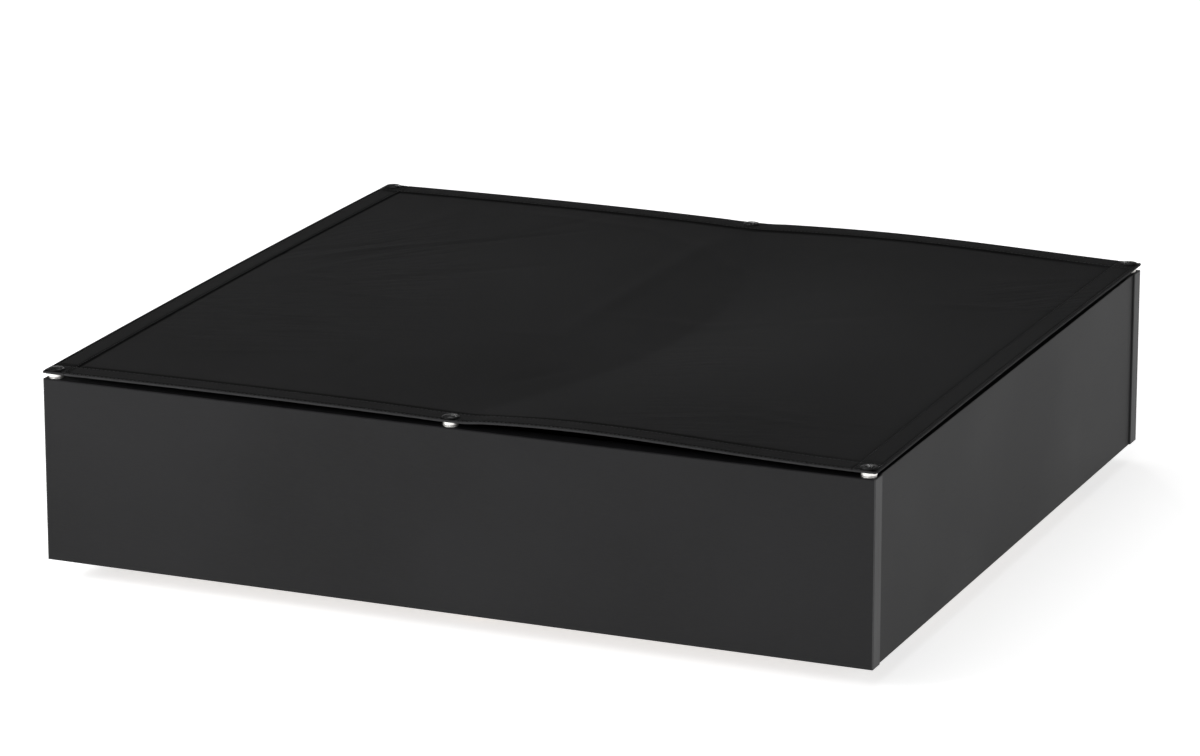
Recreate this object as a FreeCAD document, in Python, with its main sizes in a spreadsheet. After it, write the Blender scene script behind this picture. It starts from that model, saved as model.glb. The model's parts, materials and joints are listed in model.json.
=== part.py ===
"""Under-bed storage box on castors, with a fabric cover held by press studs.

Frame: +Z up, +X to the right along the front panel, and the front panel faces -Y.
The origin is on the floor under the centre of the box.  Lengths are in millimetres.

The box is four foil-covered particleboard panels, joined with cam fittings and dowels.  A thin
fibreboard bottom slides into grooves in all four panels and rests on a batten.  Four fixed castors
are screwed to the side panels, under the bottom.  Six screw studs stand on the top edges of the
front and back panels, and the sockets of the cover press onto them.
"""
import FreeCAD, Part
import os
import Sketcher

# ----------------------------------------------------------------------------- driving dimensions
DIMENSIONS = [
    # alias, value, what it sizes
    ("box_width", 700, "front and back panels, end to end"),
    ("box_depth", 650, "front face to back face"),
    ("panel_height", 150, "all four panels"),
    ("board_thickness", 15, "all four panels"),
    ("floor_gap", 18, "floor to the panels' lower edges"),
    ("side_inset", 1.5, "side panels' faces behind the ends of the front and back panels"),
    ("edging_thickness", 1, "plastic edging on ends and top edges"),
    ("edging_round", 0.6, "edging's outer edges"),
    ("castor_headroom", 1, "castor housings to the bottom's underside"),
    ("groove_depth", 6, "groove for the bottom"),
    ("bottom_thickness", 3, "fibreboard bottom"),
    ("slide_play", 0.2, "bottom in its groove, above it and at each end"),
    ("batten_width", 18, "batten under the bottom"),
    ("batten_play", 0.5, "batten in its holders, each way"),
    ("holder_wall", 3, "batten holders' walls"),
    ("holder_reach", 24, "length of batten that a holder carries"),
    ("holder_wing", 14, "holder's screw wing on each side"),
    ("fitting_lift", 1, "fittings above the panels' lower edges"),
    ("wheel_radius", 18, "castor wheel, over the tyre"),
    ("wheel_width", 12, "castor wheel and tyre"),
    ("tyre_depth", 3, "tyre, radially"),
    ("tyre_shoulder", 1.2, "tyre's rounded edges"),
    ("rim_depth", 2.5, "wheel's rim, radially"),
    ("hub_radius", 5.5, "wheel's hub"),
    ("web_width", 4, "wheel's web between hub and rim"),
    ("axle_radius", 2.5, "castor axle"),
    ("running_play", 0.05, "wheel on its axle, radially"),
    ("axle_head_radius", 4, "axle's head"),
    ("axle_head_height", 1.2, "axle's head"),
    ("wheel_side_play", 1.2, "wheel to each cheek"),
    ("wheel_top_play", 2, "tyre to the housing's roof and ends"),
    ("cheek_thickness", 3, "castor housing's cheeks and roof"),
    ("cheek_foot_radius", 8, "round foot of a cheek, about the axle"),
    ("plate_thickness", 3, "castor housing's screw plate"),
    ("plate_corner", 4, "screw plate's corners"),
    ("plate_margin", 6, "castor's screws to the screw plate's ends"),
    ("screw_head_clearance", 0.5, "castor's screw heads to its housing"),
    ("castor_setback", 95, "front or back face to the nearer axle"),
    ("screw_radius", 1.75, "wood screws and stud screws"),
    ("screw_head_radius", 3.5, "countersunk head"),
    ("screw_head_depth", 1.75, "countersunk head"),
    ("screw_grip", 10, "wood screw in a panel"),
    ("recess_length", 3.6, "cross recess in a screw head"),
    ("recess_width", 0.7, "cross recess in a screw head"),
    ("recess_depth", 1.2, "cross recess in a screw head"),
    ("cam_radius", 7.5, "cam fitting"),
    ("cam_floor", 1, "cam fitting, beyond its bolt channel"),
    ("cam_backset", 24, "side panel's end to the cam's centre"),
    ("cam_slot_length", 9, "cam's cross slot"),
    ("cam_slot_width", 1.6, "cam's cross slot"),
    ("cam_slot_depth", 2, "cam's cross slot"),
    ("bolt_radius", 2.5, "cam bolt's shank and thread"),
    ("bolt_hole_radius", 3.5, "shank's hole in the side panel and cam"),
    ("bolt_head_radius", 3.2, "cam bolt's head"),
    ("bolt_head_length", 3, "cam bolt's head"),
    ("bolt_grip", 10, "cam bolt in the front or back panel"),
    ("dowel_radius", 4, "wooden dowel"),
    ("dowel_length", 30, "wooden dowel"),
    ("dowel_grip", 9, "dowel in the front or back panel"),
    ("dowel_end_play", 1, "dowel's blind end in the side panel"),
    ("dowel_chamfer", 1, "dowel's ends"),
    ("dowel_drop", 24, "upper dowels below the panels' top edges"),
    ("cover_overhang", 1, "cover past the panels, all round"),
    ("cover_thickness", 2, "cover at its double hem"),
    ("cover_corner", 4, "cover's corners"),
    ("fold_setback", 34, "cover's back edge to its fold"),
    ("fold_gap", 0.3, "between the cover's two parts at the fold"),
    ("stud_inset", 8, "corner studs from the ends of the front and back panels"),
    ("stud_flange_radius", 6, "screw stud's flange"),
    ("stud_flange_height", 0.8, "screw stud's flange"),
    ("stud_neck_radius", 2.3, "screw stud's neck"),
    ("stud_neck_height", 1.1, "screw stud's neck"),
    ("stud_head_radius", 3.2, "screw stud's head"),
    ("stud_head_height", 1.5, "screw stud's head"),
    ("stud_head_slope", 0.4, "underside and crown of the head"),
    ("stud_grip", 12, "stud's screw in the panel"),
    ("press_play", 0.3, "socket above the flange, and its roof above the head"),
    ("press_side_play", 0.2, "socket around the stud's head"),
    ("press_radius", 6.2, "socket, outside"),
    ("press_edge", 0.4, "socket's rounded edges"),
    ("press_roof", 0.5, "socket's roof"),
    ("spring_wire_radius", 0.3, "ring spring's wire"),
    ("spring_grip", 0.3, "ring spring reaching in under the stud's head"),
    ("spring_play", 0.15, "ring spring in its groove"),
    ("cap_radius", 7, "cap on the cover"),
    ("cap_height", 1.9, "cap on the cover"),
    ("cap_crown", 1.3, "cap's rounded edge"),
    ("cap_post_radius", 1.8, "cap's post, through cloth and socket"),
]

doc = FreeCAD.newDocument("bed_storage_box")
sheet = doc.addObject("Spreadsheet::Sheet", "dims")
for row, (alias, value, purpose) in enumerate(DIMENSIONS, start=1):
    sheet.set(f"A{row}", alias)
    sheet.set(f"B{row}", str(value))
    sheet.set(f"C{row}", purpose)
    sheet.setAlias(f"B{row}", alias)
doc.recompute()


class Size:
    """A length from the sheet, or worked out from such lengths: the expression that binds an
    object to the sheet, and its present value."""

    def __init__(self, text, value):
        self.text, self.value = text, value

    @staticmethod
    def of(other):
        return other if isinstance(other, Size) else Size(repr(float(other)), float(other))

    def __add__(self, other):
        other = Size.of(other)
        return Size(f"({self.text} + {other.text})", self.value + other.value)

    def __sub__(self, other):
        other = Size.of(other)
        return Size(f"({self.text} - {other.text})", self.value - other.value)

    def __mul__(self, factor):
        return Size(f"({self.text} * {factor})", self.value * factor)

    def __truediv__(self, factor):
        return Size(f"({self.text} / {factor})", self.value / factor)

    def __neg__(self):
        return self * -1


NOTHING = Size("0", 0.0)


class Dimensions:
    """Reads the sheet by alias: dim.box_width is a Size."""

    def __getattr__(self, alias):
        return Size(f"dims.{alias}", float(sheet.get(alias)))


dim = Dimensions()

# ---------------------------------------------------------------- places that several pieces share
half_width = dim.box_width / 2
half_depth = dim.box_depth / 2
panel_top = dim.floor_gap + dim.panel_height
panel_middle = dim.floor_gap + dim.panel_height / 2
board = dim.board_thickness
inner_y = half_depth - board                        # inner faces of the front and back panels
side_outer_x = half_width - dim.side_inset
side_inner_x = side_outer_x - board
castor_roof = dim.wheel_radius + dim.wheel_top_play  # heights and reaches from a castor's axle
castor_top = castor_roof + dim.cheek_thickness
castor_screw_y = castor_top + dim.screw_head_radius + dim.screw_head_clearance
plate_reach = castor_screw_y + dim.plate_margin
groove_z = dim.wheel_radius + castor_top + dim.castor_headroom  # underside of the bottom
stud_y = half_depth - board / 2
stud_x = half_width - dim.stud_inset
stud_head_z = dim.stud_flange_height + dim.stud_neck_height
stud_top = stud_head_z + dim.stud_head_height
press_low = dim.stud_flange_height + dim.press_play
press_ceiling = stud_top + dim.press_play
cloth_low = press_ceiling + dim.press_roof          # cloth's underside, above the panels' top edges
cover_z = panel_top + cloth_low
cover_x = half_width + dim.cover_overhang
cover_y = half_depth + dim.cover_overhang
fold_y = cover_y - dim.fold_setback
cheek_inner = dim.wheel_width / 2 + dim.wheel_side_play
cheek_outer = cheek_inner + dim.cheek_thickness
castor_x = side_inner_x - cheek_outer - dim.plate_thickness
castor_y = half_depth - dim.castor_setback
cam_depth = board / 2 + dim.bolt_hole_radius + dim.cam_floor
dowel_heights = {"low": (dim.floor_gap + groove_z) / 2, "high": panel_top - dim.dowel_drop}

ALONG = {
    "z": FreeCAD.Rotation(),
    "-z": FreeCAD.Rotation(FreeCAD.Vector(1, 0, 0), 180),
    "x": FreeCAD.Rotation(FreeCAD.Vector(0, 1, 0), 90),
    "-x": FreeCAD.Rotation(FreeCAD.Vector(0, 1, 0), -90),
    "y": FreeCAD.Rotation(FreeCAD.Vector(1, 0, 0), -90),
    "-y": FreeCAD.Rotation(FreeCAD.Vector(1, 0, 0), 90),
}
HALF_TURN = FreeCAD.Rotation(FreeCAD.Vector(0, 0, 1), 180)
sub_parts = []


# ------------------------------------------------------------------------------ building functions
def bind(item, prop, size):
    """Ties a property to the sheet."""
    item.setExpression(prop, Size.of(size).text)


def place(item, point, rotation=None):
    """Ties an object's place to the sheet, with a fixed turn."""
    if rotation is not None:
        item.Placement = FreeCAD.Placement(FreeCAD.Vector(), rotation)
    for axis, size in zip("xyz", point):
        bind(item, f"Placement.Base.{axis}", size)
    return item


def add_box(name, low, high):
    """A block between two corners."""
    item = doc.addObject("Part::Box", name)
    for prop, a, b in zip(("Length", "Width", "Height"), low, high):
        bind(item, prop, Size.of(b) - a)
    return place(item, low)


def add_rod(name, start, along, radius, length):
    """A cylinder that starts at a point."""
    item = doc.addObject("Part::Cylinder", name)
    bind(item, "Radius", radius)
    bind(item, "Height", length)
    return place(item, start, ALONG[along])


def add_cone(name, start, along, radius, end_radius, length):
    """A truncated cone that starts at a point."""
    item = doc.addObject("Part::Cone", name)
    bind(item, "Radius1", radius)
    bind(item, "Radius2", end_radius)
    bind(item, "Height", length)
    return place(item, start, ALONG[along])


def add_fuse(name, pieces):
    if len(pieces) == 1:
        return pieces[0]
    item = doc.addObject("Part::MultiFuse", name)
    item.Shapes = pieces
    return item


def add_cut(name, base, tools):
    item = doc.addObject("Part::Cut", name)
    item.Base = base
    item.Tool = add_fuse(f"{name}_tools", tools)
    return item


def add_sketch(body, plane_role, points):
    """A closed outline of straight lines, each corner tied to the sheet."""
    sketch = body.newObject("Sketcher::SketchObject", f"{body.Name}_outline")
    plane = [f for f in body.Origin.OriginFeatures if f.Role == plane_role][0]
    sketch.AttachmentSupport = [(plane, "")]
    sketch.MapMode = "FlatFace"
    corners = [(Size.of(u), Size.of(v)) for u, v in points]
    vectors = [FreeCAD.Vector(u.value, v.value, 0) for u, v in corners]
    count = len(corners)
    for i in range(count):
        sketch.addGeometry(Part.LineSegment(vectors[i], vectors[(i + 1) % count]), False)
    for i in range(count):
        sketch.addConstraint(Sketcher.Constraint("Coincident", i, 2, (i + 1) % count, 1))
    for i, corner in enumerate(corners):
        for kind, tag, size in zip(("DistanceX", "DistanceY"), "uv", corner):
            index = sketch.addConstraint(Sketcher.Constraint(kind, -1, 1, i, 1, size.value))
            sketch.renameConstraint(index, f"{tag}{i}")
            sketch.setExpression(f"Constraints.{tag}{i}", size.text)
    return sketch


def turned(name, outline):
    """A body turned about its own Z axis from an outline of (radius, height) corners."""
    body = doc.addObject("PartDesign::Body", name)
    sketch = add_sketch(body, "XZ_Plane", outline)
    turn = body.newObject("PartDesign::Revolution", f"{name}_turn")
    turn.Profile = sketch
    turn.ReferenceAxis = (sketch, ["V_Axis"])
    turn.Angle = 360
    body.Tip = turn
    return body


def padded(name, plane_role, outline, thickness, midplane=False):
    """A body padded from an outline: upwards from the XY plane, or both ways from the YZ plane."""
    body = doc.addObject("PartDesign::Body", name)
    sketch = add_sketch(body, plane_role, outline)
    pad = body.newObject("PartDesign::Pad", f"{name}_pad")
    pad.Profile = sketch
    bind(pad, "Length", thickness)
    pad.Midplane = midplane
    body.Tip = pad
    return body


def rounded(body, radius, wanted):
    """Rounds the edges of a body that a test picks out."""
    doc.recompute()
    base = body.Tip
    edges = [f"Edge{i}" for i, edge in enumerate(base.Shape.Edges, start=1) if wanted(edge)]
    if not edges:
        raise RuntimeError(f"{body.Name}: no edge to round")
    fillet = body.newObject("PartDesign::Fillet", f"{body.Name}_round{len(body.Group)}")
    fillet.Base = (base, edges)
    bind(fillet, "Radius", radius)
    body.Tip = fillet
    return body


def is_ring(edge, radius, height):
    """True for a full circle of that radius at that height."""
    curve = edge.Curve
    near = 1e-4
    return (
        isinstance(curve, Part.Circle)
        and abs(curve.Radius - radius.value) < near
        and abs(curve.Center.z - height.value) < near
    )


def is_along(edge, axis):
    """True for a straight edge along one axis."""
    direction = edge.Vertexes[-1].Point - edge.Vertexes[0].Point
    return abs(abs(direction.dot(axis)) - direction.Length) < 1e-6 < direction.Length


def is_on_face(edge, axis, level):
    """True for an edge that lies in the plane at that level along an axis."""
    return all(abs(getattr(vertex, axis) - level) < 1e-4 for vertex in edge.Vertexes)


def keep(item, label):
    """Marks an object as a finished sub-part."""
    item.Label = label
    sub_parts.append(item)
    return item


def keep_group(label, master, places):
    """A sub-part of identical pieces: linked copies of one master, each at (point, rotation)."""
    copies = []
    for number, (point, rotation) in enumerate(places, start=1):
        copy = doc.addObject("App::Link", f"{label}_{number}")
        copy.LinkedObject = master
        place(copy, point, rotation)
        copies.append(copy)
    group = doc.addObject("Part::Compound", label)
    group.Links = copies
    return keep(group, label)


def rectangle(low_u, low_v, high_u, high_v):
    return [(low_u, low_v), (high_u, low_v), (high_u, high_v), (low_u, high_v)]


SIDES = {"left": -1, "right": 1}
ENDS = {"front": -1, "back": 1}


# -------------------------------------------------------------------------------------- the panels
def groove_tool(name, low_x, low_y, high_x, high_y):
    top = groove_z + dim.bottom_thickness + dim.slide_play
    return add_box(name, (low_x, low_y, groove_z), (high_x, high_y, top))


def span(side, near, far):
    """Low and high of a stretch that runs outwards from the centre, on either side of it."""
    return (near, far) if side > 0 else (-far, -near)


def make_end_panel(end):
    """The front or the back panel: its core, the edging on its ends and its top edge."""
    way = ENDS[end]
    name = f"{end}_panel"
    low_y, high_y = span(way, inner_y, half_depth)
    core_x = half_width - dim.edging_thickness
    core_top = panel_top - dim.edging_thickness
    core = add_box(f"{name}_core", (-core_x, low_y, dim.floor_gap), (core_x, high_y, core_top))
    groove_low, groove_high = span(way, inner_y, inner_y + dim.groove_depth)
    groove_x = side_inner_x + dim.groove_depth
    tools = [groove_tool(f"{name}_groove", -groove_x, groove_low, groove_x, groove_high)]
    joint_x = side_inner_x + board / 2
    for side, sign in SIDES.items():
        x = joint_x * sign
        along = "y" if way > 0 else "-y"
        start_y = inner_y * way
        tools.append(
            add_rod(f"{name}_bolt_hole_{side}", (x, start_y, panel_middle), along,
                    dim.bolt_radius, dim.bolt_grip)
        )
        for level, z in dowel_heights.items():
            tools.append(
                add_rod(f"{name}_dowel_hole_{side}_{level}", (x, start_y, z), along,
                        dim.dowel_radius, dim.dowel_grip)
            )
    for number, x in enumerate(holder_screw_offsets(), start=1):
        tools.append(
            add_rod(f"{name}_holder_hole_{number}", (x, inner_y * way, holder_screw_z),
                    "y" if way > 0 else "-y", dim.screw_radius, dim.screw_grip)
        )
    for number, x in enumerate((-stud_x, NOTHING, stud_x), start=1):
        tools.append(stud_hole(f"{name}_stud_hole_{number}", x, stud_y * way))
    keep(add_cut(name, core, tools), name)

    for side, sign in SIDES.items():
        low_x, high_x = span(sign, core_x, half_width)
        strip = padded(f"{name}_edging_{side}", "XY_Plane",
                       rectangle(low_x, low_y, high_x, high_y), dim.panel_height)
        outer_x = (half_width * sign).value
        rounded(strip, dim.edging_round, lambda edge: is_on_face(edge, "X", outer_x))
        keep(place(strip, (0, 0, dim.floor_gap)), f"{name}_edging_{side}")
    blank = make_top_strip(f"{name}_edging_top_blank", (-core_x, low_y), (core_x, high_y),
                           FreeCAD.Vector(1, 0, 0))
    holes = [stud_hole(f"{name}_edging_hole_{number}", x, stud_y * way)
             for number, x in enumerate((-stud_x, NOTHING, stud_x), start=1)]
    keep(add_cut(f"{name}_edging_top", blank, holes), f"{name}_edging_top")


def make_top_strip(name, low, high, lengthwise):
    """A strip of edging on a panel's top edge, its long upper edges rounded."""
    strip = padded(name, "XY_Plane", rectangle(*low, *high), dim.edging_thickness)
    crown = dim.edging_thickness.value
    rounded(strip, dim.edging_round,
            lambda edge: is_on_face(edge, "Z", crown) and is_along(edge, lengthwise))
    return place(strip, (0, 0, panel_top - dim.edging_thickness))


def stud_hole(name, x, y):
    """The hole that a stud's screw makes, straight down from the panels' top edges."""
    return add_rod(name, (x, y, panel_top), "-z", dim.screw_radius, dim.stud_grip)


def make_side_panel(side):
    """The left or the right panel, which butts against the front and back panels."""
    sign = SIDES[side]
    name = f"{side}_side_panel"
    low_x, high_x = span(sign, side_inner_x, side_outer_x)
    core_top = panel_top - dim.edging_thickness
    core = add_box(f"{name}_core", (low_x, -inner_y, dim.floor_gap), (high_x, inner_y, core_top))
    groove_low, groove_high = span(sign, side_inner_x, side_inner_x + dim.groove_depth)
    tools = [groove_tool(f"{name}_groove", groove_low, -inner_y, groove_high, inner_y)]
    joint_x = (side_inner_x + board / 2) * sign
    inwards_x = side_inner_x * sign
    outwards = "x" if sign > 0 else "-x"
    for end, way in ENDS.items():
        start_y = inner_y * way
        towards_centre = "-y" if way > 0 else "y"
        cam_y = (inner_y - dim.cam_backset) * way
        tools.append(
            add_rod(f"{name}_cam_hole_{end}", (inwards_x, cam_y, panel_middle), outwards,
                    dim.cam_radius, cam_depth)
        )
        tools.append(
            add_rod(f"{name}_bolt_hole_{end}", (joint_x, start_y, panel_middle), towards_centre,
                    dim.bolt_hole_radius, dim.cam_backset)
        )
        for level, z in dowel_heights.items():
            depth = dim.dowel_length - dim.dowel_grip + dim.dowel_end_play
            tools.append(
                add_rod(f"{name}_dowel_hole_{end}_{level}", (joint_x, start_y, z),
                        towards_centre, dim.dowel_radius, depth)
            )
        for tag, offset in castor_screw_offsets().items():
            hole_y = castor_y * way + offset
            tools.append(
                add_rod(f"{name}_castor_hole_{end}_{tag}", (inwards_x, hole_y, castor_screw_z),
                        outwards, dim.screw_radius, dim.screw_grip)
            )
    keep(add_cut(name, core, tools), name)
    strip = make_top_strip(f"{name}_edging_top", (low_x, -inner_y), (high_x, inner_y),
                           FreeCAD.Vector(0, 1, 0))
    keep(strip, f"{name}_edging_top")


# ------------------------------------------------------------------------- the bottom and its batten
holder_low = dim.floor_gap + dim.fitting_lift
holder_high = groove_z - dim.fitting_lift
holder_screw_z = (holder_low + holder_high) / 2
trough_x = dim.batten_width / 2 + dim.batten_play + dim.holder_wall


def holder_screw_offsets():
    """X of a holder's two screws, each in the middle of its wing."""
    out = trough_x + dim.holder_wing / 2
    return (-out, out)


def make_bottom():
    reach = dim.groove_depth - dim.slide_play
    x, y = side_inner_x + reach, inner_y + reach
    board_sheet = add_box("bottom_board", (-x, -y, groove_z), (x, y, groove_z + dim.bottom_thickness))
    keep(board_sheet, "bottom_board")


def make_batten():
    x = dim.batten_width / 2
    y = inner_y - dim.holder_wall - dim.batten_play
    z = holder_low + dim.holder_wall
    keep(add_box("batten", (-x, -y, z), (x, y, groove_z)), "batten")


def make_holder(end):
    """A plastic trough with two screw wings, which carries one end of the batten."""
    way = ENDS[end]
    name = f"batten_holder_{end}"
    wing_x = trough_x + dim.holder_wing
    plate_low, plate_high = span(way, inner_y - dim.holder_wall, inner_y)
    plate = add_box(f"{name}_plate", (-wing_x, plate_low, holder_low),
                    (wing_x, plate_high, holder_high))
    trough_low, trough_high = span(way, inner_y - dim.holder_reach, inner_y)
    trough = add_box(f"{name}_trough", (-trough_x, trough_low, holder_low),
                     (trough_x, trough_high, holder_high))
    channel_x = dim.batten_width / 2 + dim.batten_play
    channel_low, channel_high = span(way, inner_y - dim.holder_reach, inner_y - dim.holder_wall)
    tools = [
        add_box(f"{name}_channel", (-channel_x, channel_low, holder_low + dim.holder_wall),
                (channel_x, channel_high, holder_high))
    ]
    face_y = (inner_y - dim.holder_wall) * way
    along = "y" if way > 0 else "-y"
    for number, x in enumerate(holder_screw_offsets(), start=1):
        tools += countersunk_hole(f"{name}_{number}", (x, face_y, holder_screw_z), along,
                                  dim.holder_wall)
    keep(add_cut(name, add_fuse(f"{name}_blank", [plate, trough]), tools), name)


# ---------------------------------------------------------------------------------- wood fasteners
def countersunk_hole(name, start, along, depth):
    """A through hole with a countersink that fits the wood screw's head."""
    return [
        add_rod(f"{name}_hole", start, along, dim.screw_radius, depth),
        add_cone(f"{name}_sink", start, along, dim.screw_head_radius, dim.screw_radius,
                 dim.screw_head_depth),
    ]


def make_screw(name, through):
    """A countersunk wood screw, from its head at the origin down its own Z axis."""
    length = through + dim.screw_grip
    blank = turned(f"{name}_blank", [
        (0, 0), (0, -length), (dim.screw_radius, dim.screw_radius - length),
        (dim.screw_radius, -dim.screw_head_depth), (dim.screw_head_radius, 0),
    ])
    half_long, half_wide = dim.recess_length / 2, dim.recess_width / 2
    recess = [
        add_box(f"{name}_recess_a", (-half_long, -half_wide, -dim.recess_depth),
                (half_long, half_wide, NOTHING)),
        add_box(f"{name}_recess_b", (-half_wide, -half_long, -dim.recess_depth),
                (half_wide, half_long, NOTHING)),
    ]
    return add_cut(name, blank, recess)


def make_wood_screws():
    castor_screw = make_screw("castor_screw", dim.plate_thickness)
    places = []
    for sign in SIDES.values():
        for way in ENDS.values():
            for offset in castor_screw_offsets().values():
                point = ((side_inner_x - dim.plate_thickness) * sign, castor_y * way + offset,
                         castor_screw_z)
                places.append((point, ALONG["-x" if sign > 0 else "x"]))
    keep_group("castor_screws", castor_screw, places)

    holder_screw = make_screw("holder_screw", dim.holder_wall)
    places = []
    for way in ENDS.values():
        for x in holder_screw_offsets():
            point = (x, (inner_y - dim.holder_wall) * way, holder_screw_z)
            places.append((point, ALONG["-y" if way > 0 else "y"]))
    keep_group("holder_screws", holder_screw, places)


def corner_places(point_y, rotation_of):
    """The four panel corners at mid height, each with the rotation that its end calls for."""
    x = side_inner_x + board / 2
    return [((x * sign, point_y * way, panel_middle), rotation_of(sign, way))
            for sign in SIDES.values() for way in ENDS.values()]


def make_corner_fasteners():
    """Cam bolts, cams and dowels, each modelled once about its own Z axis."""
    stem = dim.cam_backset - dim.bolt_head_length
    bolt = turned("cam_bolt", [
        (0, -dim.bolt_grip), (dim.bolt_radius, -dim.bolt_grip), (dim.bolt_radius, stem),
        (dim.bolt_head_radius, stem), (dim.bolt_head_radius, dim.cam_backset),
        (0, dim.cam_backset),
    ])
    keep_group("cam_bolts", bolt, corner_places(
        inner_y, lambda sign, way: ALONG["-y" if way > 0 else "y"]))

    half_dowel = dim.dowel_length / 2
    dowel = turned("dowel", [
        (0, -half_dowel), (dim.dowel_radius - dim.dowel_chamfer, -half_dowel),
        (dim.dowel_radius, dim.dowel_chamfer - half_dowel),
        (dim.dowel_radius, half_dowel - dim.dowel_chamfer),
        (dim.dowel_radius - dim.dowel_chamfer, half_dowel), (0, half_dowel),
    ])
    middle_y = inner_y + dim.dowel_grip - half_dowel
    places = []
    for sign in SIDES.values():
        for way in ENDS.values():
            for z in dowel_heights.values():
                point = ((side_inner_x + board / 2) * sign, middle_y * way, z)
                places.append((point, ALONG["y"]))
    keep_group("dowels", dowel, places)

    # The cam's face is at the origin and its depth runs down its own Z axis; the bolt comes in
    # along its own Y axis.
    blank = turned("cam_blank", [
        (0, -cam_depth), (dim.cam_radius, -cam_depth), (dim.cam_radius, 0), (0, 0),
    ])
    half_long, half_wide = dim.cam_slot_length / 2, dim.cam_slot_width / 2
    tools = [
        add_rod("cam_channel", (NOTHING, NOTHING, -(board / 2)), "y",
                dim.bolt_hole_radius, dim.cam_radius * 2),
        add_box("cam_slot_a", (-half_long, -half_wide, -dim.cam_slot_depth),
                (half_long, half_wide, NOTHING)),
        add_box("cam_slot_b", (-half_wide, -half_long, -dim.cam_slot_depth),
                (half_wide, half_long, NOTHING)),
    ]
    cam = add_cut("cam", blank, tools)
    places = []
    for sign in SIDES.values():
        for way in ENDS.values():
            face = ALONG["-x" if sign > 0 else "x"]
            turn = face if way > 0 else face.multiply(FreeCAD.Rotation(FreeCAD.Vector(0, 0, 1), 180))
            point = (side_inner_x * sign, (inner_y - dim.cam_backset) * way, panel_middle)
            places.append((point, turn))
    keep_group("cams", cam, places)


# --------------------------------------------------------------------------------------- castors
plate_low = holder_low - dim.wheel_radius
castor_screw_z = (holder_low + dim.wheel_radius + castor_top) / 2


def castor_screw_offsets():
    """Y of a castor's two screws from its axle."""
    return {"near": -castor_screw_y, "far": castor_screw_y}


def make_castor(end, side):
    """One fixed castor: housing, axle, wheel and tyre, about the axle's centre."""
    tag = f"{end}_{side}"
    centre = (castor_x * SIDES[side], castor_y * ENDS[end], dim.wheel_radius)
    facing = FreeCAD.Rotation() if side == "left" else HALF_TURN

    shoulder = castor_top - dim.cheek_thickness * 3
    cheeks = padded(f"castor_cheeks_{tag}", "YZ_Plane", [
        (-dim.cheek_foot_radius, 0), (dim.cheek_foot_radius, 0), (castor_top, shoulder),
        (castor_top, castor_top), (-castor_top, castor_top), (-castor_top, shoulder),
    ], cheek_outer * 2, midplane=True)
    foot = add_rod(f"castor_foot_{tag}", (-cheek_outer, NOTHING, NOTHING), "x",
                   dim.cheek_foot_radius, cheek_outer * 2)
    plate = padded(f"castor_plate_{tag}", "YZ_Plane",
                   rectangle(-plate_reach, plate_low, plate_reach, castor_top),
                   dim.plate_thickness)
    rounded(plate, dim.plate_corner, lambda edge: is_along(edge, FreeCAD.Vector(1, 0, 0)))
    place(plate, (-(cheek_outer + dim.plate_thickness), NOTHING, NOTHING))
    blank = add_fuse(f"castor_blank_{tag}", [cheeks, foot, plate])
    tools = [
        add_box(f"wheel_well_{tag}", (-cheek_inner, -castor_roof, -dim.wheel_radius),
                (cheek_inner, castor_roof, castor_roof)),
        add_rod(f"axle_hole_{tag}", (-cheek_outer, NOTHING, NOTHING), "x", dim.axle_radius,
                cheek_outer * 2),
    ]
    screw_z = castor_screw_z - dim.wheel_radius
    for name, offset in castor_screw_offsets().items():
        tools += countersunk_hole(f"castor_screw_{name}_{tag}", (-cheek_outer, offset, screw_z),
                                  "-x", dim.plate_thickness)
    housing = add_cut(f"castor_housing_{tag}", blank, tools)
    keep(place(housing, centre, facing), f"castor_housing_{tag}")

    axle = turned(f"castor_axle_{tag}", [
        (0, -cheek_outer), (dim.axle_radius, -cheek_outer), (dim.axle_radius, cheek_outer),
        (dim.axle_head_radius, cheek_outer),
        (dim.axle_head_radius, cheek_outer + dim.axle_head_height),
        (0, cheek_outer + dim.axle_head_height),
    ])
    keep(place(axle, centre, facing.multiply(ALONG["x"])), f"castor_axle_{tag}")

    half, web = dim.wheel_width / 2, dim.web_width / 2
    bore = dim.axle_radius + dim.running_play
    rim = dim.wheel_radius - dim.tyre_depth
    rim_inside = rim - dim.rim_depth
    wheel = turned(f"castor_wheel_{tag}", [
        (bore, -half), (dim.hub_radius, -half), (dim.hub_radius, -web), (rim_inside, -web),
        (rim_inside, -half), (rim, -half), (rim, half), (rim_inside, half), (rim_inside, web),
        (dim.hub_radius, web), (dim.hub_radius, half), (bore, half),
    ])
    keep(place(wheel, centre, facing.multiply(ALONG["x"])), f"castor_wheel_{tag}")

    tyre = turned(f"castor_tyre_{tag}", [
        (rim, -half), (dim.wheel_radius, -half), (dim.wheel_radius, half), (rim, half),
    ])
    rounded(tyre, dim.tyre_shoulder,
            lambda edge: is_ring(edge, dim.wheel_radius, half)
            or is_ring(edge, dim.wheel_radius, -half))
    keep(place(tyre, centre, facing.multiply(ALONG["x"])), f"castor_tyre_{tag}")


# -------------------------------------------------------------------- press studs and the cover
def row_of_studs(way, z):
    """Places of the three studs on the front or back panel, at a height."""
    return [((x, stud_y * way, z), ALONG["z"]) for x in (-stud_x, NOTHING, stud_x)]


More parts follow.
